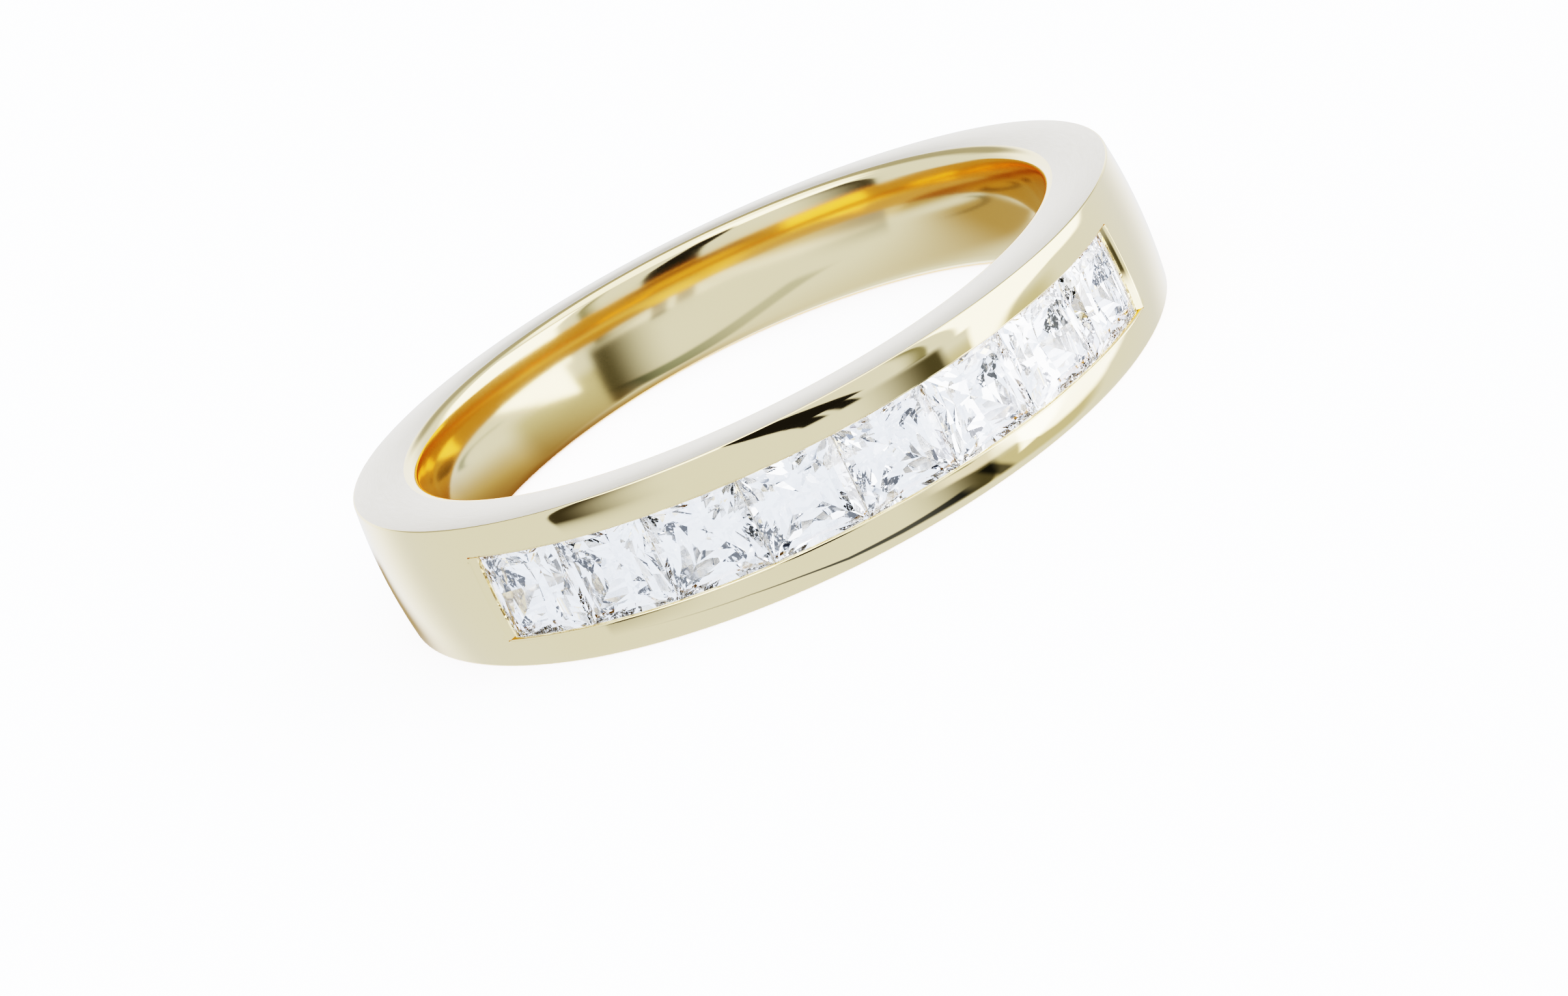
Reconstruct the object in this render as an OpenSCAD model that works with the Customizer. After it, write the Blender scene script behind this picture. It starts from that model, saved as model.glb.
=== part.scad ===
// Channel set band: a gold finger ring with a row of square, faceted stones held between two rails.
// It lies on its lower side face. The origin is the middle of the finger hole, the row of stones faces -Y,
// and the resting surface is the plane below the band, square to Z.

/* [Finger hole] */
// Diameter of the finger hole at its narrowest, on the flat land in the middle of the inner wall
bore_d = 17; // [15:0.1:21]
// Width of that flat land, along the finger
land_w = 1; // [0.6:0.1:1.6]
// Radius of the rounding that opens the hole from the land towards each side face
comfort_r = 2.9; // [2.5:0.1:6]

/* [Band] */
// Width of the band at the front, over the stones
front_w = 4.2; // [4:0.05:5.4]
// Width of the band at the back of the finger
back_w = 3; // [2.2:0.05:3.8]
// Metal from the finger hole to the crown of the outside, at the front
front_wall = 2.12; // [2.05:0.01:2.6]
// Metal from the finger hole to the crown of the outside, at the back
back_wall = 1.36; // [1:0.01:1.7]
// How far the middle of the outside stands above its two edges, at the front
dome_rise = 0.16; // [0.08:0.01:0.24]
// Half of the arc over which the front keeps its full radius, in degrees
front_arc = 72; // [66:1:80]
// How much tighter the outside turns at the sides of the finger, as a radius
side_tuck = 0.92; // [0.85:0.01:1.1]

/* [Stones] */
// Number of stones in the row
stone_count = 8; // [4:1:10]
// Length and width of one square stone
stone_side = 2.5; // [2.1:0.05:2.6]
// Length and width of the flat table on top of a stone
table_side = 1.6; // [1.4:0.05:1.7]
// Height of the bevelled crown, from the girdle to the table
crown_h = 0.26; // [0.22:0.01:0.32]
// Thickness of the girdle, the upright edge of a stone
girdle_h = 0.06; // [0.04:0.01:0.1]
// Depth of the pavilion, from the girdle to the point
pavilion_h = 1.4; // [1.1:0.01:1.45]

/* [Channel] */
// Width of the slot between the two rails, as seen from outside
slot_w = 2.3; // [1.9:0.05:2.4]
// How far the tables lie below the rails' edges
table_sink = 0.1; // [0.05:0.01:0.16]
// Gap left between two stones, and between a stone and the metal
stone_gap = 0.03; // [0.02:0.005:0.05]

/* [Hidden] */
// Colours of the yellow gold and of the clear stones
gold_colour = [0.86, 0.74, 0.45];
stone_colour = [0.88, 0.91, 0.95];

// Radii of the finger hole and of the outside's crown, and how far a cutting tool runs past the metal
bore_r = bore_d / 2;
front_r = bore_r + front_wall;
back_r = bore_r + back_wall;
clear = front_w;

// The side faces are flat and close in on each other from the front to the back
face_slope = (front_w - back_w) / 2 / (front_r + back_r);
face_angle = atan(face_slope);
centre_half_w = front_w / 2 - face_slope * front_r;

// The outside is domed across its width, by an arc through both edges of the front
dome_r = (pow(front_w / 2, 2) + pow(dome_rise, 2)) / (2 * dome_rise);

// Seen from the side, the outside is a front arc about the middle of the hole, a tighter arc at each side
// and a wider one at the back, each running smoothly into the next
side_r = front_r - side_tuck;
side_x = side_tuck * sin(front_arc);
side_y = -side_tuck * cos(front_arc);
tuck_back = back_r - side_r;
back_y = (pow(tuck_back, 2) - pow(side_x, 2) - pow(side_y, 2)) / (2 * (tuck_back - side_y));
back_arc_r = back_r - back_y;
joint_angle = atan2(side_y - back_y, side_x);
// How far the arcs run into each other where they meet, in degrees
lap = 0.001;

// Where the rails' edges, the tables, the girdles and the points of the stones lie, as radii
rail_r = front_r - pow(slot_w / 2, 2) / (2 * dome_r);
table_r = rail_r - table_sink;
girdle_r = table_r - crown_h - girdle_h;
half_side = stone_side / 2;
half_diagonal = half_side * sqrt(2);
pitch = 2 * atan((half_side + stone_gap / 2) / girdle_r);
row_arc = stone_count * pitch;

// Crown and pavilion of a stone, from the outside in: share of the half side, share of the crown's height
// or of the pavilion's depth, and the turn of the facet away from the side, in degrees
OUT = 0;
RISE = 1;
TURN = 2;
CROWN = [[1, 0, 0], [0.8, 0.66, 0], [table_side / stone_side, 1, 0]];
PAVILION = [[1, 0, 0], [0.93, 0.18, 5], [0.585, 0.545, 10], [0.35, 0.75, 15], [0, 1, 15]];
// Share of the half diagonal at which the four corner facets reach the table
KITE = 0.6;

// The space on the outer side of a plane that leans by slope degrees and passes out millimetres from the
// axis at height z
module beyond(turn, out, z, slope) {
    size = 4 * stone_side;
    rotate([0, 0, turn])
        translate([out, 0, z])
            rotate([0, slope, 0])
                translate([-size / 2, -size / 2, 0])
                    cube(size);
}

// Facets that lie between two rows of a table, on one of the four sides, turned to both hands
module facets(table, row, height, foot, down) {
    turn = table[row][TURN];
    fall = height * (table[row + 1][RISE] - table[row][RISE]);
    run = half_side * (table[row][OUT] - table[row + 1][OUT]);
    slope = atan(fall / run / cos(turn));
    out = half_side * table[row][OUT];
    z = height * table[row][RISE];
    for (side = [0 : 3], hand = turn == 0 ? [1] : [-1, 1])
        beyond(90 * side + hand * turn, out * cos(turn), foot + down * z, down > 0 ? slope : 180 - slope);
}

// One square cut stone, with its table up and the foot of its girdle at height 0
module cut_stone() {
    difference() {
        translate([-half_side, -half_side, -pavilion_h])
            cube([stone_side, stone_side, pavilion_h + girdle_h + crown_h]);
        for (row = [0 : len(CROWN) - 2])
            facets(CROWN, row, crown_h, girdle_h, 1);
        for (row = [0 : len(PAVILION) - 2])
            facets(PAVILION, row, pavilion_h, 0, -1);
        for (corner = [0 : 3])
            beyond(90 * corner + 45, half_diagonal, girdle_h, atan(crown_h / (half_diagonal * (1 - KITE))));
    }
}

// A stone in its place in the row, counted from the left
module stone(number) {
    color(stone_colour)
        seated()
            rotate([0, 0, (number - (stone_count + 1) / 2) * pitch])
                translate([0, -girdle_r, 0])
                    rotate([90, 0, 0])
                        cut_stone();
}

// A wedge of the domed outside, turned about its own centre
module dome_wedge(radius, start, sweep) {
    rotate_extrude(angle = sweep, start = start, $fn = 180)
        intersection() {
            translate([0, -clear])
                square([radius + clear, 2 * clear]);
            translate([radius - dome_r, 0])
                circle(dome_r, $fn = 360);
        }
}

// The whole outside, with the tighter arcs at the two sides and the wider one at the back
module outside() {
    dome_wedge(front_r, 270 - front_arc, 2 * front_arc);
    for (hand = [0, 1])
        mirror([hand, 0, 0])
            translate([side_x, side_y, 0])
                dome_wedge(side_r, front_arc - 90 - lap, joint_angle + 90 - front_arc + 2 * lap);
    translate([0, back_y, 0])
        dome_wedge(back_arc_r, joint_angle, 180 - 2 * joint_angle);
}

// The space between the two flat side faces
module between_faces() {
    reach = front_r + clear;
    near = centre_half_w + face_slope * reach;
    far = centre_half_w - face_slope * reach;
    rotate([90, 0, 90])
        linear_extrude(2 * reach, center = true)
            polygon([[-reach, -near], [reach, -far], [reach, far], [-reach, near]]);
}

// The finger hole: a flat land in the middle, rounded open towards both side faces
module finger_hole() {
    rotate_extrude($fn = 180) {
        translate([0, -clear])
            square([bore_r, 2 * clear]);
        for (hand = [-1, 1])
            difference() {
                translate([0, hand > 0 ? land_w / 2 : -land_w / 2 - comfort_r])
                    square([bore_r + comfort_r, comfort_r]);
                translate([bore_r + comfort_r, hand * land_w / 2])
                    circle(comfort_r, $fn = 180);
            }
    }
}

// The channel: a slot between the rails, a groove under them for the girdles and a trough for the points
module channel() {
    groove = half_side + stone_gap;
    corner_r = sqrt(pow(girdle_r + girdle_h, 2) + pow(half_side, 2));
    groove_top = corner_r + stone_gap;
    lip = groove_top + groove - slot_w / 2;
    trough = [for (row = PAVILION) [girdle_r - stone_gap - row[RISE] * pavilion_h, row[OUT] * half_side]];
    upper = concat([[front_r + clear, slot_w / 2], [lip, slot_w / 2], [groove_top, groove],
                    [girdle_r - stone_gap, groove]],
                   [for (step = trough) [step[0], step[1] + stone_gap]]);
    lower = [for (i = [len(upper) - 1 : -1 : 0]) [upper[i][0], -upper[i][1]]];
    rotate_extrude(angle = row_arc, start = 270 - row_arc / 2, $fn = 180)
        polygon(concat(upper, lower));
}

// The band, one piece of metal from the finger hole to the rails
module band() {
    color(gold_colour)
        seated()
            difference() {
                intersection() {
                    between_faces();
                    outside();
                }
                finger_hole();
                channel();
            }
}

// Tips what is built square to the finger hole, so that the lower side face lies level
module seated() {
    rotate([-face_angle, 0, 0])
        children();
}

band();
for (number = [1 : stone_count])
    stone(number);
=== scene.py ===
"""The looks of a channel set band: a polished gold ring with satin side faces and a row of square stones."""
import math

import bmesh
import bpy
from mathutils import Matrix, Vector


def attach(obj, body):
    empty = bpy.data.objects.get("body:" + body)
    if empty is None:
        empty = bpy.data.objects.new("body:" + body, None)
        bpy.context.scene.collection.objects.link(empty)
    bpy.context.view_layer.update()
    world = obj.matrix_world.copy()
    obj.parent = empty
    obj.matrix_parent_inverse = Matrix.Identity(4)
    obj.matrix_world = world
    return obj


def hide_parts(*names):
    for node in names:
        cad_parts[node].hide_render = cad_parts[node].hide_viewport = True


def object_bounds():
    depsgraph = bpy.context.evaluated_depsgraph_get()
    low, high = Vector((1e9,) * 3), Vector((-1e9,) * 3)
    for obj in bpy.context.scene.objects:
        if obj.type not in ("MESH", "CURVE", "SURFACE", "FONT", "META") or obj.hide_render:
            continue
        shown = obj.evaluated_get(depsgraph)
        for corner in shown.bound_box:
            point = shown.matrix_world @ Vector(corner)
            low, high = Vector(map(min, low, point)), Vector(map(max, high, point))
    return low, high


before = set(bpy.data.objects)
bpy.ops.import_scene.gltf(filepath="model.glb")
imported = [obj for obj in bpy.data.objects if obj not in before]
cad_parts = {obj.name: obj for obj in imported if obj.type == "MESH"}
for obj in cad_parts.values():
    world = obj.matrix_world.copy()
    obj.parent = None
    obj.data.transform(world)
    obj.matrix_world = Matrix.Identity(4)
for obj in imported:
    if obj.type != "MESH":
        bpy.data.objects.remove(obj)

cad_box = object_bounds()

# Band: a finger ring cast in yellow gold, with a channel cut along its front for the stones. Outside and hole are
# polished, the side faces brushed. Its section changes all the way round, so it is lofted through hundreds of
# sections, which no operator gives, and it takes the place of the plain solid, form for form.
MM = 0.001
# In millimetres: the hole, the width and the metal at the front and the back, the dome, and the tuck at the sides
BORE_R = 8.5
FRONT_W = 4.2
BACK_W = 3.0
FRONT_WALL = 2.12
BACK_WALL = 1.36
FRONT_R = BORE_R + FRONT_WALL
BACK_R = BORE_R + BACK_WALL
DOME_RISE = 0.16
FRONT_ARC = math.radians(72)
SIDE_TUCK = 0.92

# The taper of the side faces, the dome across the width, and the three arcs that the outside is made of
FACE_SLOPE = (FRONT_W - BACK_W) / 2 / (FRONT_R + BACK_R)
FACE_ANGLE = math.atan(FACE_SLOPE)
CENTRE_HALF_W = FRONT_W / 2 - FACE_SLOPE * FRONT_R
DOME_R = ((FRONT_W / 2) ** 2 + DOME_RISE ** 2) / (2 * DOME_RISE)
SIDE_R = FRONT_R - SIDE_TUCK
SIDE_CENTRE = Vector((SIDE_TUCK * math.sin(FRONT_ARC), -SIDE_TUCK * math.cos(FRONT_ARC)))
TUCK_BACK = BACK_R - SIDE_R
BACK_Y = (TUCK_BACK ** 2 - SIDE_CENTRE.length_squared) / (2 * (TUCK_BACK - SIDE_CENTRE.y))
BACK_CENTRE = Vector((0, BACK_Y))
BACK_ARC_R = BACK_R - BACK_Y
JOINT_ANGLE = math.atan2(SIDE_CENTRE.y - BACK_Y, SIDE_CENTRE.x)
JOINT = BACK_CENTRE + BACK_ARC_R * Vector((math.cos(JOINT_ANGLE), math.sin(JOINT_ANGLE)))

# The channel, cut to the shape of the stones: each step of a stone's underside as shares of its depth and half side
STONE_COUNT = 8
HALF_STONE = 1.25
STONE_GAP = 0.03
CROWN_H = 0.26
GIRDLE_H = 0.06
PAVILION_H = 1.4
PAVILION_STEPS = ((1, 0), (0.75, 0.35), (0.545, 0.585), (0.18, 0.93), (0, 1))
TABLE_SINK = 0.1
HALF_SLOT = 1.15
SLOT_RIM = 0.02
RAIL_R = FRONT_R - HALF_SLOT ** 2 / (2 * DOME_R)
GIRDLE_R = RAIL_R - TABLE_SINK - CROWN_H - GIRDLE_H
PITCH = 2 * math.atan((HALF_STONE + STONE_GAP / 2) / GIRDLE_R)
ROW_END = STONE_COUNT * PITCH / 2

# Softened forms: the barrel of the hole and its rounded edge, the swell of the side faces, the pillow of the rails,
# the broken edges, and the chamfer where the channel ends
BARREL_LAND = 0.03
BARREL_R = 6.2
HOLE_EDGE_R = 0.3
FACE_SWELL = 0.04
RAIL_PILLOW = 0.1
PILLOW_FULL = math.radians(40)
PILLOW_TURN = 6
EDGE_R = 0.05
LIP_R = 0.08
CHAMFER = 0.03

# How finely the loft is divided, round the finger and across the section
ROW_SECTIONS = 160
PLAIN_SECTIONS = 240
LIP_STEPS = 3
RAIL_POINTS = 14
EDGE_STEPS = 5
FACE_POINTS = 7
HOLE_EDGE_POINTS = 9
WALL_POINTS = 14
# The rounded edge of the hole is fitted between the barrel and the side face in this many rounds
WALL_ROUNDS = 4
WELD = 0.0001 * MM
SHARP_EDGE = math.radians(40)

# The ring lies on its lower side face, so all that is built square to the finger hole is tipped by this
SEAT = Matrix.Rotation(-FACE_ANGLE, 4, "X")

# The finishes of the gold and their slots. How fine a pattern is counts in clouds to the metre, a pair of
# roughnesses is for the two ends of a pattern, and the radius up to which the finger wears the gold is in millimetres.
POLISHED, SATIN, SEATED = 0, 1, 2
GOLD_DEEP = (0.90, 0.69, 0.33, 1)
GOLD_LIGHT = (0.95, 0.74, 0.38, 1)
GOLD_CLOUDS = 260
HAZE_FINE = 900
HAZE_DETAIL = 4
WORN_RADIUS = 9.2
WORN_SOFT = 0.2
POLISHED_ROUGH = (0.03, 0.06)
WORN_ROUGH = (0.09, 0.12)
MARKS_FINE = 2600
MARKS_STRENGTH = 0.05
MARKS_DEPTH = 0.006 * MM
# Painted sheen: the satin's tones are paler than the gold's
SATIN_DEEP = (0.86, 0.77, 0.62, 1)
SATIN_LIGHT = (0.97, 0.88, 0.72, 1)
SATIN_ROUGH = (0.22, 0.42)
BRUSH_FINE = 26000
BRUSH_LONG = 14
BRUSH_DETAIL = 5
BRUSH_STRENGTH = 0.3
BRUSH_DEPTH = 0.01 * MM
# Painted light: the seat's tones are paler than the gold's, to lighten the channel's shade
SEAT_DEEP = (0.88, 0.82, 0.72, 1)
SEAT_LIGHT = (0.93, 0.89, 0.80, 1)
SEAT_ROUGH = (0.12, 0.22)
SEAT_GRAIN = 1500


def link(tree, source, target):
    """Joins one node's result to another node's socket."""
    tree.links.new(source, target)


def add(tree, kind, **values):
    """A node of that kind, with its plain settings."""
    node = tree.nodes.new(kind)
    for name, value in values.items():
        setattr(node, name, value)
    return node


def calculate(tree, operation, a, b=None):
    """One step of arithmetic between numbers and other nodes' results."""
    node = add(tree, "ShaderNodeMath", operation=operation)
    for socket, value in ((0, a), (1, b)):
        if isinstance(value, (int, float)):
            node.inputs[socket].default_value = value
        elif value is not None:
            link(tree, value, node.inputs[socket])
    return node.outputs["Value"]


def times(tree, first, *others):
    """The product of several numbers or results."""
    for other in others:
        first = calculate(tree, "MULTIPLY", first, other)
    return first


def ramp(tree, value, start, end, low=0, high=1, kind="SMOOTHSTEP"):
    """low where the value is at start, high where it is at end, and a soft or straight slope between them."""
    node = add(tree, "ShaderNodeMapRange", interpolation_type=kind)
    link(tree, value, node.inputs["Value"])
    for name, number in (("From Min", start), ("From Max", end), ("To Min", low), ("To Max", high)):
        node.inputs[name].default_value = number
    return node.outputs["Result"]


def finish(name):
    """A fresh finish, with its nodes, the shader of its surface and the place that its patterns read."""
    material = bpy.data.materials.new(name)
    material.use_nodes = True
    tree = material.node_tree
    return material, tree, tree.nodes["Principled BSDF"], add(tree, "ShaderNodeTexCoord").outputs["Object"]


def cloudy(tree, place, scale, detail=2):
    """An even, cloudy pattern from 0 to 1."""
    noise = add(tree, "ShaderNodeTexNoise")
    noise.inputs["Scale"].default_value = scale
    noise.inputs["Detail"].default_value = detail
    link(tree, place, noise.inputs["Vector"])
    return noise.outputs["Fac"]


def coloured(tree, shader, share, deep, light):
    """Lets the surface's colour wander between two tones."""
    colours = add(tree, "ShaderNodeMix", data_type="RGBA")
    colours.inputs["A"].default_value = deep
    colours.inputs["B"].default_value = light
    link(tree, share, colours.inputs["Factor"])
    link(tree, colours.outputs["Result"], shader.inputs["Base Color"])


def scratched(tree, shader, height, strength, depth):
    """Raises and sinks the surface by a hair's breadth."""
    bump = add(tree, "ShaderNodeBump")
    bump.inputs["Strength"].default_value = strength
    bump.inputs["Distance"].default_value = depth
    link(tree, height, bump.inputs["Height"])
    link(tree, bump.outputs["Normal"], shader.inputs["Normal"])


def from_axis(tree, place):
    """How far a place is from the axis of the finger hole."""
    flat = add(tree, "ShaderNodeVectorMath", operation="MULTIPLY")
    flat.inputs[1].default_value = (1, 1, 0)
    link(tree, place, flat.inputs[0])
    radius = add(tree, "ShaderNodeVectorMath", operation="LENGTH")
    link(tree, flat.outputs["Vector"], radius.inputs[0])
    return radius.outputs["Value"]


def polished_gold():
    """Pale yellow gold with fine polishing marks, a little duller inside, where the finger rubs it."""
    material, tree, shader, place = finish("polished_gold")
    shader.inputs["Metallic"].default_value = 1
    coloured(tree, shader, cloudy(tree, place, GOLD_CLOUDS), GOLD_DEEP, GOLD_LIGHT)
    haze = cloudy(tree, place, HAZE_FINE, HAZE_DETAIL)
    wear = add(tree, "ShaderNodeMix", data_type="FLOAT")
    link(tree, ramp(tree, from_axis(tree, place), (WORN_RADIUS - WORN_SOFT) * MM, (WORN_RADIUS + WORN_SOFT) * MM,
                    kind="LINEAR"), wear.inputs["Factor"])
    link(tree, ramp(tree, haze, 0, 1, *WORN_ROUGH, "LINEAR"), wear.inputs["A"])
    link(tree, ramp(tree, haze, 0, 1, *POLISHED_ROUGH, "LINEAR"), wear.inputs["B"])
    link(tree, wear.outputs["Result"], shader.inputs["Roughness"])
    scratched(tree, shader, cloudy(tree, place, MARKS_FINE), MARKS_STRENGTH, MARKS_DEPTH)
    return material


def satin_gold():
    """Gold brushed round the finger hole, which makes it matt; its paler tone is a painted sheen."""
    material, tree, shader, place = finish("satin_gold")
    shader.inputs["Metallic"].default_value = 1
    split = add(tree, "ShaderNodeSeparateXYZ")
    link(tree, place, split.inputs["Vector"])
    turn = calculate(tree, "ARCTAN2", split.outputs["X"], split.outputs["Y"])
    strokes = add(tree, "ShaderNodeCombineXYZ")
    link(tree, times(tree, from_axis(tree, place), BRUSH_FINE), strokes.inputs["X"])
    link(tree, times(tree, turn, BRUSH_LONG), strokes.inputs["Y"])
    link(tree, times(tree, split.outputs["Z"], BRUSH_FINE), strokes.inputs["Z"])
    brush = cloudy(tree, strokes.outputs["Vector"], 1, BRUSH_DETAIL)
    coloured(tree, shader, brush, SATIN_DEEP, SATIN_LIGHT)
    link(tree, ramp(tree, brush, 0, 1, *SATIN_ROUGH, "LINEAR"), shader.inputs["Roughness"])
    scratched(tree, shader, brush, BRUSH_STRENGTH, BRUSH_DEPTH)
    return material


def seat_gold():
    """The milled floor of the channel under the stones, a duller gold; its paler tone is painted in to lighten the
    channel's shade as the stones show it.
    """
    material, tree, shader, place = finish("seat_gold")
    shader.inputs["Metallic"].default_value = 1
    milled = cloudy(tree, place, SEAT_GRAIN)
    coloured(tree, shader, milled, SEAT_DEEP, SEAT_LIGHT)
    link(tree, ramp(tree, milled, 0, 1, *SEAT_ROUGH, "LINEAR"), shader.inputs["Roughness"])
    scratched(tree, shader, milled, MARKS_STRENGTH, MARKS_DEPTH)
    return material


def spread(start, end, count):
    """That many numbers at even steps, from start to end."""
    return [start + (end - start) * i / (count - 1) for i in range(count)]


def fade(value, low, high):
    """1 below low, 0 above high and a smooth fall between them."""
    t = min(1, max(0, (value - low) / (high - low)))
    return 1 - t * t * (3 - 2 * t)


def swell(share):
    """0 at both ends of a stretch and 1 in its middle."""
    return 4 * share * (1 - share)


def arc_reach(theta, centre, radius):
    """How far from the middle of the hole a ray at angle theta meets a circle."""
    along = centre.dot(Vector((math.sin(theta), -math.cos(theta))))
    return along + math.sqrt(radius ** 2 - centre.length_squared + along ** 2)


def crown_radius(theta):
    """Radius of the outside's crown at an angle from the middle of the row."""
    side = abs(math.remainder(theta, math.tau))
    if side <= FRONT_ARC:
        return FRONT_R
    if side < math.atan2(JOINT.x, -JOINT.y):
        return arc_reach(side, SIDE_CENTRE, SIDE_R)
    return arc_reach(side, BACK_CENTRE, BACK_ARC_R)


def dome_fall(z):
    """How far the domed outside has fallen at a height from its middle."""
    return DOME_R - math.sqrt(DOME_R ** 2 - z * z)


def rounded(before, corner, after, radius, steps):
    """Points of the arc that rounds a corner."""
    a = (before - corner).normalized()
    b = (after - corner).normalized()
    half = a.angle(b) / 2
    start = corner + a * radius / math.tan(half)
    centre = corner + (a + b).normalized() * radius / math.sin(half)
    end = corner + b * radius / math.tan(half)
    turn = (start - centre).angle_signed(end - centre)
    return [centre + Matrix.Rotation(-turn * i / steps, 2) @ (start - centre) for i in range(steps + 1)]


def hole_wall(theta):
    """Half of the hole's wall as (radius, height), from the side face over the rounded edge to the middle."""
    radius = BORE_R
    for _ in range(WALL_ROUNDS):
        top = CENTRE_HALF_W + FACE_SLOPE * radius * math.cos(theta)
        turn = math.asin((top - BARREL_LAND - HOLE_EDGE_R) / (BARREL_R - HOLE_EDGE_R))
        radius = BORE_R + BARREL_R * (1 - math.cos(turn)) + HOLE_EDGE_R * math.cos(turn)
    edge = Vector((BORE_R + BARREL_R - (BARREL_R - HOLE_EDGE_R) * math.cos(turn), top - HOLE_EDGE_R))
    points = [edge + HOLE_EDGE_R * Vector((-math.cos(t), math.sin(t)))
              for t in spread(math.pi / 2, turn, HOLE_EDGE_POINTS)]
    for t in spread(turn, 0, WALL_POINTS)[1:]:
        points.append(Vector((BORE_R + BARREL_R * (1 - math.cos(t)), BARREL_LAND + BARREL_R * math.sin(t))))
    return points + [Vector((BORE_R, 0))]


def trough():
    """Half of the channel's section as (radius, height), from the deepest point to the slot between the rails."""
    groove = HALF_STONE + STONE_GAP
    top = math.hypot(GIRDLE_R + GIRDLE_H, HALF_STONE) + STONE_GAP
    rim = top + groove - HALF_SLOT
    foot = GIRDLE_R - STONE_GAP
    steps = [(foot - depth * PAVILION_H, side * HALF_STONE + STONE_GAP) for depth, side in PAVILION_STEPS]
    return [Vector(p) for p in ((foot - PAVILION_H, 0), *steps, (top, groove), (rim, HALF_SLOT),
                                (rim + SLOT_RIM, HALF_SLOT))]


def half_section(theta, cut, drop):
    """Half of the band's section at an angle, from the crown round to the middle of the hole's wall. cut opens the
    channel, and drop sinks the middle of the outside, for the chamfer where the channel ends."""
    crown = crown_radius(theta)
    pillow = RAIL_PILLOW * fade(abs(math.remainder(theta, math.tau)), PILLOW_FULL, ROW_END)
    face = CENTRE_HALF_W + FACE_SLOPE * crown * math.cos(theta)

    def outside(z):
        share = min(1, max(0, (z - HALF_SLOT) / (face - HALF_SLOT)))
        return Vector((crown - dome_fall(z) + pillow * (share - share ** PILLOW_TURN), z))

    wall = hole_wall(theta)
    rail = [outside(z) for z in spread(HALF_SLOT, face, RAIL_POINTS + 2)]
    if cut:
        middle = trough() + rounded(rail[0] - Vector((1, 0)), rail[0], rail[1], LIP_R, LIP_STEPS)
    else:
        heights = spread(0, HALF_SLOT - LIP_R, len(trough()) + LIP_STEPS - 1)
        middle = [outside(z) - Vector((drop, 0)) for z in heights]
        middle += [outside(HALF_SLOT - LIP_R / 2) - Vector((drop / 2, 0)), rail[0]]
    outer = rounded(rail[-2], rail[-1], wall[0], EDGE_R, EDGE_STEPS)
    side_face = [outer[-1].lerp(wall[0], share) + Vector((0, FACE_SWELL * swell(share)))
                 for share in spread(0, 1, FACE_POINTS + 2)[1:-1]]
    return middle, rail[1:-1], outer, side_face, wall


def section(theta, cut, drop):
    """The whole section in its place round the finger hole, and the finish of each stretch of its upper half."""
    middle, rail, outer, side_face, wall = half_section(theta, cut, drop)
    upper = [*middle, *rail, *outer, *side_face, *wall]
    seated = len(trough()) - 2 if cut else 0
    bright = len(middle) + len(rail) + len(outer) - 1 - seated
    finishes = [SEATED] * seated + [POLISHED] * bright + [SATIN] * (len(side_face) + 1) + [POLISHED] * len(wall)
    points = [Vector((p.x * math.sin(theta), -p.x * math.cos(theta), p.y)) for p in upper]
    return points + [Vector((p.x, p.y, -p.z)) for p in reversed(points[1:-1])], finishes


# The sections along the row, then round the back from its right end to its left one, with a chamfer at each end
places = [(theta, True, 0) for theta in spread(-ROW_END, ROW_END, ROW_SECTIONS + 1)]
places += [(ROW_END, False, CHAMFER), (ROW_END + CHAMFER / FRONT_R, False, 0)]
places += [(theta, False, 0) for theta in spread(ROW_END, math.tau - ROW_END, PLAIN_SECTIONS + 1)[1:-1]]
places += [(math.tau - ROW_END - CHAMFER / FRONT_R, False, 0), (math.tau - ROW_END, False, CHAMFER)]
loft = bmesh.new()
rings = []
for place in places:
    points, finishes = section(*place)
    rings.append(([loft.verts.new(SEAT @ p * MM) for p in points], finishes))
for (this, finishes), (after, _) in zip(rings, rings[1:] + rings[:1]):
    for i in range(len(this)):
        j = (i + 1) % len(this)
        face = loft.faces.new((this[i], after[i], after[j], this[j]))
        face.material_index = finishes[i if i < len(finishes) else len(this) - i - 1]
bmesh.ops.remove_doubles(loft, verts=loft.verts, dist=WELD)
mesh = bpy.data.meshes.new("band_polished")
loft.to_mesh(mesh)
loft.free()
band = bpy.data.objects.new("band_polished", mesh)
bpy.context.collection.objects.link(band)
for gold in (polished_gold(), satin_gold(), seat_gold()):
    mesh.materials.append(gold)
bpy.ops.object.select_all(action="DESELECT")
band.select_set(True)
bpy.context.view_layer.objects.active = band
bpy.ops.object.shade_smooth_by_angle(angle=SHARP_EDGE)
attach(band, "root")
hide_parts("band")

# Row ends: a sliver of the band's own gold, pushed over the outer edge of the first and the last stone with a
# setter's punch. Each is a small section drawn across the channel, following the dome of the band. A corner of the
# section is how far it reaches over the stone, and how deep it lies below the outside.
END_REACH = 0.17
END_FALL = 0.13
END_DEPTH = 0.19
END_LAP = 0.02
# How far the section runs level, and its share of the fall halfway over the stone
END_LEVEL = 0.01
END_HALFWAY = 0.38
END_SECTION = ((-END_LAP, 0), (END_LEVEL, 0), (END_REACH / 2, END_HALFWAY * END_FALL), (END_REACH, END_FALL),
               (END_REACH, END_DEPTH), (-END_LAP, END_DEPTH))
END_PROUD = 0.002
END_STEPS = 12
END_EDGE = math.radians(30)


def end_top(z):
    """Radius of a sliver's top at a height, a little proud of the domed outside."""
    return FRONT_R + END_PROUD - dome_fall(z)


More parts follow.
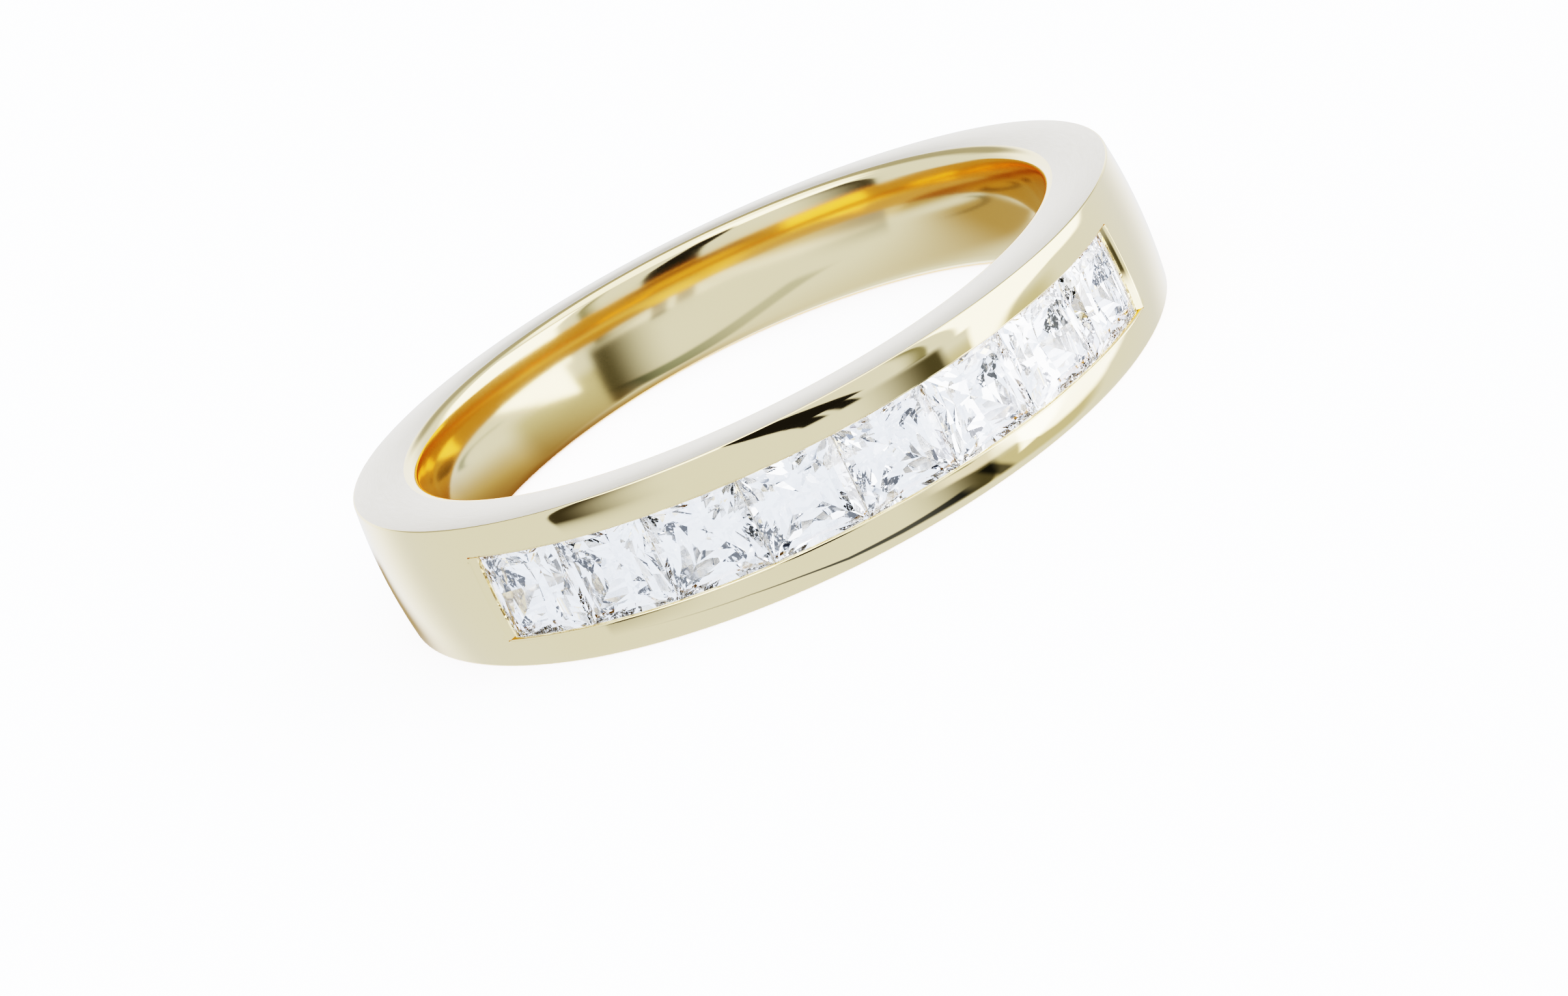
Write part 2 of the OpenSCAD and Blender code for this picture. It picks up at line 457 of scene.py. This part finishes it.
heights = spread(-HALF_SLOT - END_LAP, HALF_SLOT + END_LAP, END_STEPS + 1)
for name, hand in (("end_lip_left", -1), ("end_lip_right", 1)):
    outward = Vector((hand * math.sin(ROW_END), -math.cos(ROW_END), 0))
    bpy.ops.object.select_all(action="DESELECT")
    bpy.ops.mesh.primitive_circle_add(vertices=len(END_SECTION), fill_type="NGON")
    end_lip = bpy.context.object
    end_lip.name = name
    for corner, (reach, depth) in zip(end_lip.data.vertices, END_SECTION):
        r = end_top(heights[0]) - depth
        theta = hand * (ROW_END - reach / RAIL_R)
        corner.co = SEAT @ Vector((r * math.sin(theta), -r * math.cos(theta), heights[0])) * MM
    bpy.ops.object.mode_set(mode="EDIT")
    bpy.ops.mesh.select_all(action="SELECT")
    for low, high in zip(heights, heights[1:]):
        step = outward * (end_top(high) - end_top(low)) + Vector((0, 0, high - low))
        bpy.ops.mesh.extrude_region_move(TRANSFORM_OT_translate={"value": SEAT @ step * MM})
    bpy.ops.mesh.select_all(action="SELECT")
    bpy.ops.mesh.normals_make_consistent(inside=False)
    bpy.ops.object.mode_set(mode="OBJECT")
    bpy.ops.object.shade_smooth_by_angle(angle=END_EDGE)
    end_lip.data.materials.append(bpy.data.materials["polished_gold"])
    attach(end_lip, "root")

# Stones: eight square cut, clear and colourless stones, side by side in the channel, their girdles held under the
# rails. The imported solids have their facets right, so they only take their finish: a strongly refracting one,
# with a breath of haze on the polish.
STONE_INDEX = 2.42
STONE_COOL = (0.97, 0.98, 1.0, 1)
STONE_CLEAR = (1.0, 1.0, 1.0, 1)
STONE_HAZE = (0.0, 0.012)
STONE_CLOUDS = 700

stone_clear, tree, shader, place = finish("stone_clear")
shader.inputs["IOR"].default_value = STONE_INDEX
shader.inputs["Transmission Weight"].default_value = 1
breath = cloudy(tree, place, STONE_CLOUDS)
coloured(tree, shader, breath, STONE_COOL, STONE_CLEAR)
link(tree, ramp(tree, breath, 0, 1, *STONE_HAZE, "LINEAR"), shader.inputs["Roughness"])
for name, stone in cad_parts.items():
    if name.startswith("stone"):
        stone.data.materials.clear()
        stone.data.materials.append(stone_clear)

# Floor: a clear sheet that looks plain white from the camera. The light comes through it from below as well, as on a
# light table, so the metal mirrors the tent in every direction. What the metal sees of the sheet close to the ring
# has painted light and shade: a painted warm shade on one side, for shade tinted by light off the gold, painted thin
# shadows of the ring, and painted glows.
# Lengths are in millimetres from the hole's middle, and angles in degrees to the right of the row's middle
FLOOR_SIZE = 3000
FLOOR_WHITE = (4.4, 4.46, 4.55, 1)
# Where the floor in the hole begins, and the painted warm shade on it, which grows to the left: shade tinted by light
# off the gold
HOLE_EDGE = (9.6, 9.4)
WARM_SHADE_X = (-1.0, -5.5)
WARM_SHADE = (0.52, 0.36, 0.18, 1)
# Painted shade in the hole: the back of an oval line, as its middle, its half axes, half its width, where it comes
# and goes, and where and how far it fades
OVAL = (-0.4, 6.2)
OVAL_AXES = (2.25, 1.93)
OVAL_HALF = 0.13
OVAL_LEFT = (-2.1, -1.4)
OVAL_RIGHT = (0.2, 1.0)
OVAL_BACK = (6.6, 7.6)
OVAL_FRONT = (5.7, 6.3)
OVAL_FADE = (-0.8, 1.5, 1, 0.62)
OVAL_SHADE = (0.30, 0.34, 0.30, 1)
# Painted shadow in front of the ring: angle, radius and half the width of its line, and where it comes and goes
FOOT_SHADOW = ((-40, 12.05, 0.05), (-20, 11.82, 0.06), (-12, 11.52, 0.08), (-5, 11.12, 0.12), (3, 11.07, 0.19),
               (7, 11.10, 0.22), (11, 11.14, 0.28), (14, 11.20, 0.32))
FOOT_START = (-42, -10)
FOOT_END = (16.5, 13)
FOOT_SHADE = (0.09, 0.10, 0.13, 1)
# Both lines are soft from this share of their half width to that one
LINE_SOFT = (1.4, 0.6)
# The thick end of that painted shadow: its angles and radii, and how soft they are
THICK_ANGLES = (18.6, 21.6, 0.8)
THICK_RADII = (10.8, 12.3, 0.12)
THICK_SHADE = (0.16, 0.17, 0.18, 1)
# Painted light beyond it, glowing from the sheet: the radius at which it starts, at some angles, how it ends, and
# its glow on the left and the right
PATCH_EDGE = ((10, 13.1), (16, 12.9), (19, 12.7), (27, 12.55), (29, 11.6), (32, 11.45), (37, 11.45), (43, 11.6),
              (50, 11.9))
PATCH_SOFT = 0.25
PATCH_START = (9, 17)
PATCH_END = (64, 52)
PATCH_REACH = (17, 14)
PATCH_TURN = (24, 30)
PATCH_GLOW = (1.1, 3.4)
PATCH_COLOUR = (1.0, 1.03, 1.2, 1)
# Painted light glowing from the sheet on the left of the hole's floor, and at its front
HOLE_LIGHT_X = (-0.3, -1.8)
HOLE_LIGHT_Y = (4.8, 3.6)
HOLE_GLOW = 0.4
FRONT_LIGHT_X = (-0.5, 3.5, 1.0)
FRONT_LIGHT_Y = (0.8, -1.6)
FRONT_GLOW = 0.5


def line_through(tree, value, points):
    """A broken line through points (value, height), flat beyond its ends."""
    total = points[0][1]
    for (x0, y0), (x1, y1) in zip(points, points[1:]):
        total = calculate(tree, "ADD", ramp(tree, value, x0, x1, 0, y1 - y0, "LINEAR"), total)
    return total


def shaded(tree, colour, mask, shade):
    """A colour times the shade, where the mask says so."""
    mix = add(tree, "ShaderNodeMix", data_type="RGBA", blend_type="MULTIPLY")
    mix.inputs["A"].default_value = (1, 1, 1, 1)
    if colour is not None:
        link(tree, colour, mix.inputs["A"])
    mix.inputs["B"].default_value = shade
    link(tree, mask, mix.inputs["Factor"])
    return mix.outputs["Result"]


def between(tree, value, low, high, soft):
    """1 between two edges and 0 outside, with edges that reach as far as soft to either side."""
    return times(tree, ramp(tree, value, low - soft, low + soft), ramp(tree, value, high + soft, high - soft))


bpy.ops.object.select_all(action="DESELECT")
bpy.ops.mesh.primitive_plane_add(size=FLOOR_SIZE * MM, location=(0, 0, cad_box[0].z))
floor = bpy.context.object
floor.name = "floor"
light_table = bpy.data.materials.new("light_table")
light_table.use_nodes = True
tree = light_table.node_tree
tree.nodes.clear()
in_mm = add(tree, "ShaderNodeVectorMath", operation="SCALE")
in_mm.inputs["Scale"].default_value = 1 / MM
link(tree, add(tree, "ShaderNodeTexCoord").outputs["Object"], in_mm.inputs[0])
split = add(tree, "ShaderNodeSeparateXYZ")
link(tree, in_mm.outputs["Vector"], split.inputs["Vector"])
x, y = split.outputs["X"], split.outputs["Y"]
radius = from_axis(tree, in_mm.outputs["Vector"])
angle = times(tree, calculate(tree, "ARCTAN2", x, times(tree, y, -1)), math.degrees(1))
in_hole = ramp(tree, radius, *HOLE_EDGE)
# Painted warm shade on the hole's floor, growing to the left
colour = shaded(tree, None, times(tree, ramp(tree, x, *WARM_SHADE_X), in_hole), WARM_SHADE)

# Painted shade: a dark line along the back of an oval on the hole's floor
across = calculate(tree, "DIVIDE", calculate(tree, "SUBTRACT", x, OVAL[0]), OVAL_AXES[0])
along = calculate(tree, "DIVIDE", calculate(tree, "SUBTRACT", y, OVAL[1]), OVAL_AXES[1])
round_oval = calculate(tree, "SQRT", calculate(tree, "ADD", times(tree, across, across), times(tree, along, along)))
off_oval = calculate(tree, "ABSOLUTE", calculate(tree, "SUBTRACT", round_oval, 1))
seen = times(tree, calculate(tree, "MAXIMUM", ramp(tree, x, *OVAL_RIGHT), ramp(tree, y, *OVAL_BACK)),
             ramp(tree, y, *OVAL_FRONT), ramp(tree, x, *OVAL_LEFT), ramp(tree, x, *OVAL_FADE), in_hole)
line = ramp(tree, off_oval, LINE_SOFT[0] * OVAL_HALF, LINE_SOFT[1] * OVAL_HALF)
colour = shaded(tree, colour, times(tree, line, seen), OVAL_SHADE)

# Painted shadow along the ring's foot, and its thick end
middle = line_through(tree, angle, [(a, r) for a, r, _ in FOOT_SHADOW])
half = line_through(tree, angle, [(a, w) for a, _, w in FOOT_SHADOW])
off_foot = calculate(tree, "DIVIDE", calculate(tree, "ABSOLUTE", calculate(tree, "SUBTRACT", radius, middle)), half)
ends = times(tree, ramp(tree, angle, *FOOT_START), ramp(tree, angle, *FOOT_END))
colour = shaded(tree, colour, times(tree, ramp(tree, off_foot, *LINE_SOFT), ends), FOOT_SHADE)
thick = times(tree, between(tree, angle, *THICK_ANGLES), between(tree, radius, *THICK_RADII))
colour = shaded(tree, colour, thick, THICK_SHADE)

# Painted light: glows from the sheet beyond that shadow, on the left of the hole's floor and at its front
past_edge = calculate(tree, "SUBTRACT", radius, line_through(tree, angle, PATCH_EDGE))
patch = times(tree, ramp(tree, past_edge, -PATCH_SOFT, PATCH_SOFT), ramp(tree, angle, *PATCH_START),
              ramp(tree, angle, *PATCH_END), ramp(tree, radius, *PATCH_REACH),
              ramp(tree, angle, *PATCH_TURN, *PATCH_GLOW))
hole_light = times(tree, ramp(tree, x, *HOLE_LIGHT_X), ramp(tree, y, *HOLE_LIGHT_Y), in_hole, HOLE_GLOW)
sheet = add(tree, "ShaderNodeBsdfTransparent")
link(tree, colour, sheet.inputs["Color"])
lit = add(tree, "ShaderNodeEmission")
lit.inputs["Color"].default_value = PATCH_COLOUR
front_light = times(tree, between(tree, x, *FRONT_LIGHT_X), ramp(tree, y, *FRONT_LIGHT_Y), in_hole, FRONT_GLOW)
glow = calculate(tree, "ADD", calculate(tree, "ADD", patch, hole_light), front_light)
link(tree, glow, lit.inputs["Strength"])
lit_sheet = add(tree, "ShaderNodeAddShader")
link(tree, sheet.outputs["BSDF"], lit_sheet.inputs[0])
link(tree, lit.outputs["Emission"], lit_sheet.inputs[1])
white = add(tree, "ShaderNodeBsdfDiffuse")
white.inputs["Color"].default_value = FLOOR_WHITE
either = add(tree, "ShaderNodeMixShader")
link(tree, add(tree, "ShaderNodeLightPath").outputs["Is Camera Ray"], either.inputs["Fac"])
link(tree, lit_sheet.outputs["Shader"], either.inputs[1])
link(tree, white.outputs["BSDF"], either.inputs[2])
link(tree, either.outputs["Shader"], add(tree, "ShaderNodeOutputMaterial").inputs["Surface"])
floor.data.materials.append(light_table)

# Painted warm shade: a soft, glowing brown sheet under the clear one, on the left behind the ring, in place of the
# shade under the ring that light off the gold tints. The right end of the hole's wall mirrors it, as gold that
# mirrors gold, and so does the outside at the back. Lengths are in millimetres, and its edges fade over these
# stretches.
CARD_SIZE = 40
CARD_PLACE = (-10, 20, -5.5)
CARD_RIGHT = (3.2, -1.0)
CARD_LEFT = (-16.5, -12.5)
CARD_FRONT = (0.5, 11.0)
CARD_BACK = (20.0, 16.5)
WARM_SHADE_COLOUR = (0.45, 0.34, 0.20, 1)

bpy.ops.object.select_all(action="DESELECT")
bpy.ops.mesh.primitive_plane_add(size=CARD_SIZE * MM, location=Vector(CARD_PLACE) * MM)
card = bpy.context.object
card.name = "painted_warm_shade_sheet"
bpy.ops.object.transform_apply(location=True)
painted_warm_shade = bpy.data.materials.new("painted_warm_shade")
painted_warm_shade.use_nodes = True
tree = painted_warm_shade.node_tree
tree.nodes.clear()
split = add(tree, "ShaderNodeSeparateXYZ")
link(tree, add(tree, "ShaderNodeTexCoord").outputs["Object"], split.inputs["Vector"])
x, y = split.outputs["X"], split.outputs["Y"]
stretches = ((x, CARD_RIGHT), (x, CARD_LEFT), (y, CARD_FRONT), (y, CARD_BACK))
edges = [ramp(tree, value, start * MM, end * MM) for value, (start, end) in stretches]
brown = add(tree, "ShaderNodeEmission")
brown.inputs["Color"].default_value = WARM_SHADE_COLOUR
either = add(tree, "ShaderNodeMixShader")
link(tree, times(tree, *edges), either.inputs["Fac"])
link(tree, add(tree, "ShaderNodeBsdfTransparent").outputs["BSDF"], either.inputs[1])
link(tree, brown.outputs["Emission"], either.inputs[2])
link(tree, either.outputs["Shader"], add(tree, "ShaderNodeOutputMaterial").inputs["Surface"])
card.data.materials.append(painted_warm_shade)

# Studio: an even tent of white cloth round the ring, above and below, with soft boxes at the right and overhead and
# the dark gaps between them.
TENT = (1.02, 1.14, 1.36)
# Each row is a card seen from the ring, in degrees: its left and right edges and how soft each is, the same for its
# bottom and top, how far it leans to the left for each degree up, how far it falls for each degree to the right, its
# colour, and whether only the first reflection shows it. Azimuth 0 is in front of the stones.
CARDS = (
    ("overhead box", (-200, 1, 200, 1), (56, 8, 100, 1), 0, 0, (2.6, 2.7, 2.9), False),
    ("bright overhead", (-95, 20, -15, 20), (48, 8, 100, 1), 0, 0, (4.4, 4.5, 4.8), True),
    ("backdrop", (145, 30, 250, 30), (-60, 20, 20, 12), 0, 0, (2.0, 2.1, 2.3), False),
    ("backdrop, other side", (-250, 30, -145, 30), (-60, 20, 20, 12), 0, 0, (2.0, 2.1, 2.3), False),
    ("above the backdrop", (135, 30, 250, 30), (20, 12, 56, 8), 0, 0, (0.42, 0.44, 0.44), False),
    ("above the backdrop, other side", (-250, 30, -135, 30), (20, 12, 56, 8), 0, 0, (0.42, 0.44, 0.44), False),
    ("under the right box", (43, 2, 86, 14), (-42, 12, -16.5, 5), 0, 0, (0.66, 0.68, 0.62), True),
    ("right box", (49, 3, 110, 6), (-9, 4, 48, 3), 0, 0, (4.4, 4.5, 4.8), False),
    ("foot of the right box", (53, 3, 110, 20), (-42, 3, -14, 10), 0, -0.37, (4.4, 4.5, 4.8), False),
    ("right gap", (33, 9, 39, 2), (-9, 2, 50, 30), -0.05, 0, (0.26, 0.28, 0.23), True),
    ("right gap below", (23, 27, 41, 4), (-41, 8, -9, 8), 0.15, 0, (0.085, 0.09, 0.07), True),
    ("left gap", (-75, 2, -54, 36), (-14.5, 10, 44, 12), 0.08, 0, (0.06, 0.06, 0.05), True),
    ("front card", (-5, 2, 17, 1.5), (-3, 2, 60, 20), 0.45, 0, (0.02, 0.02, 0.02), True),
    ("left foot of the front card", (-5, 1.5, 2.5, 1.5), (-11, 2, 0, 1), 0.45, 0, (0.02, 0.02, 0.02), True),
    ("right foot of the front card", (5.5, 2, 12, 1.5), (-12, 2, 0, 1), 0.45, 0, (0.02, 0.02, 0.02), True),
)
# How much brighter the tent looks through the stones, what is left of its light after several reflections between
# the gold walls, and the plain white behind the floor. Light that has passed more surfaces of a stone than the first
# count below was seen through it, and a ray with fewer turns than the second is a first reflection.
STONE_LIGHT = 2.0
DEEP_GOLD = (0.61, 0.35, 0.12, 1)
BACKGROUND_WHITE = (20, 20, 20, 1)
THROUGH_STONES = 0.5
FIRST_REFLECTION = 2.5


def card_mask(tree, value, low, low_soft, high, high_soft):
    """1 between two edges and 0 outside, each edge as soft as it says."""
    return calculate(tree, "SUBTRACT", ramp(tree, value, low - low_soft / 2, low + low_soft / 2),
                     ramp(tree, value, high - high_soft / 2, high + high_soft / 2))


studio = bpy.data.worlds.new("studio")
bpy.context.scene.world = studio
studio.use_nodes = True
tree = studio.node_tree
background = tree.nodes["Background"]
split = add(tree, "ShaderNodeSeparateXYZ")
link(tree, add(tree, "ShaderNodeTexCoord").outputs["Generated"], split.inputs["Vector"])
x, y, z = split.outputs
azimuth = times(tree, calculate(tree, "ARCTAN2", x, times(tree, y, -1)), math.degrees(1))
elevation = times(tree, calculate(tree, "ARCSINE", z), math.degrees(1))
path = add(tree, "ShaderNodeLightPath")
first = calculate(tree, "LESS_THAN", path.outputs["Ray Depth"], FIRST_REFLECTION)
through = calculate(tree, "GREATER_THAN", path.outputs["Transmission Depth"], THROUGH_STONES)
colour = None
for name, sides, heights, lean, fall, glow, first_only in CARDS:
    mask = times(tree, card_mask(tree, calculate(tree, "ADD", azimuth, times(tree, elevation, lean)), *sides),
                 card_mask(tree, calculate(tree, "ADD", elevation, times(tree, azimuth, fall)), *heights))
    if first_only:
        mask = times(tree, mask, first)
    mix = add(tree, "ShaderNodeMix", data_type="RGBA", label=name)
    link(tree, mask, mix.inputs["Factor"])
    mix.inputs["A"].default_value = (*TENT, 1)
    if colour is not None:
        link(tree, colour, mix.inputs["A"])
    mix.inputs["B"].default_value = (*glow, 1)
    colour = mix.outputs["Result"]
later = calculate(tree, "SUBTRACT", calculate(tree, "SUBTRACT", 1, first), through)
colour = shaded(tree, colour, later, DEEP_GOLD)
strength = calculate(tree, "ADD", times(tree, through, STONE_LIGHT - 1), 1)
link(tree, strength, background.inputs["Strength"])
behind = add(tree, "ShaderNodeMix", data_type="RGBA")
behind.inputs["B"].default_value = BACKGROUND_WHITE
link(tree, path.outputs["Is Camera Ray"], behind.inputs["Factor"])
link(tree, colour, behind.inputs["A"])
link(tree, behind.outputs["Result"], background.inputs["Color"])

# Camera: the photograph's direction and distance from the ring, found by fitting the ring's edges to it. The
# distances are in millimetres, and the focal length is in pixels of the photograph, which is this wide.
PHOTO_W = 2408
FOCAL_PIXELS = 12632
SENSOR_W = 36
CAMERA_AZIMUTH = math.radians(-5.72)
CAMERA_ELEVATION = math.radians(17.9)
CAMERA_ROLL = math.radians(-26.0)
CAMERA_DISTANCE = 207.0
CAMERA_SIDE = -0.721
CAMERA_RISE = 2.949
NEAREST = 10

back = Vector((math.sin(CAMERA_AZIMUTH) * math.cos(CAMERA_ELEVATION),
               -math.cos(CAMERA_AZIMUTH) * math.cos(CAMERA_ELEVATION), math.sin(CAMERA_ELEVATION)))
level = Vector((math.cos(CAMERA_AZIMUTH), math.sin(CAMERA_AZIMUTH), 0))
upright = back.cross(level)
right = math.cos(CAMERA_ROLL) * level + math.sin(CAMERA_ROLL) * upright
up = math.cos(CAMERA_ROLL) * upright - math.sin(CAMERA_ROLL) * level
stand = Matrix((right, up, back)).transposed().to_4x4()
stand.translation = (back * CAMERA_DISTANCE - right * CAMERA_SIDE - up * CAMERA_RISE) * MM
camera = bpy.data.objects.new("camera", bpy.data.cameras.new("camera"))
camera.data.sensor_width = SENSOR_W
camera.data.lens = SENSOR_W * FOCAL_PIXELS / PHOTO_W
camera.data.clip_start = NEAREST * MM
camera.matrix_world = SEAT @ stand
scene = bpy.context.scene
scene.collection.objects.link(camera)
scene.camera = camera

# Light goes to and fro many times between the walls of the hole and inside the stones, and the picture has the
# photograph's contrast
ALL_BOUNCES = 32
GOLD_BOUNCES = 16
STONE_BOUNCES = 24

scene.cycles.max_bounces = ALL_BOUNCES
scene.cycles.glossy_bounces = GOLD_BOUNCES
scene.cycles.transmission_bounces = STONE_BOUNCES
scene.view_settings.view_transform = "Filmic"
scene.view_settings.look = "High Contrast"
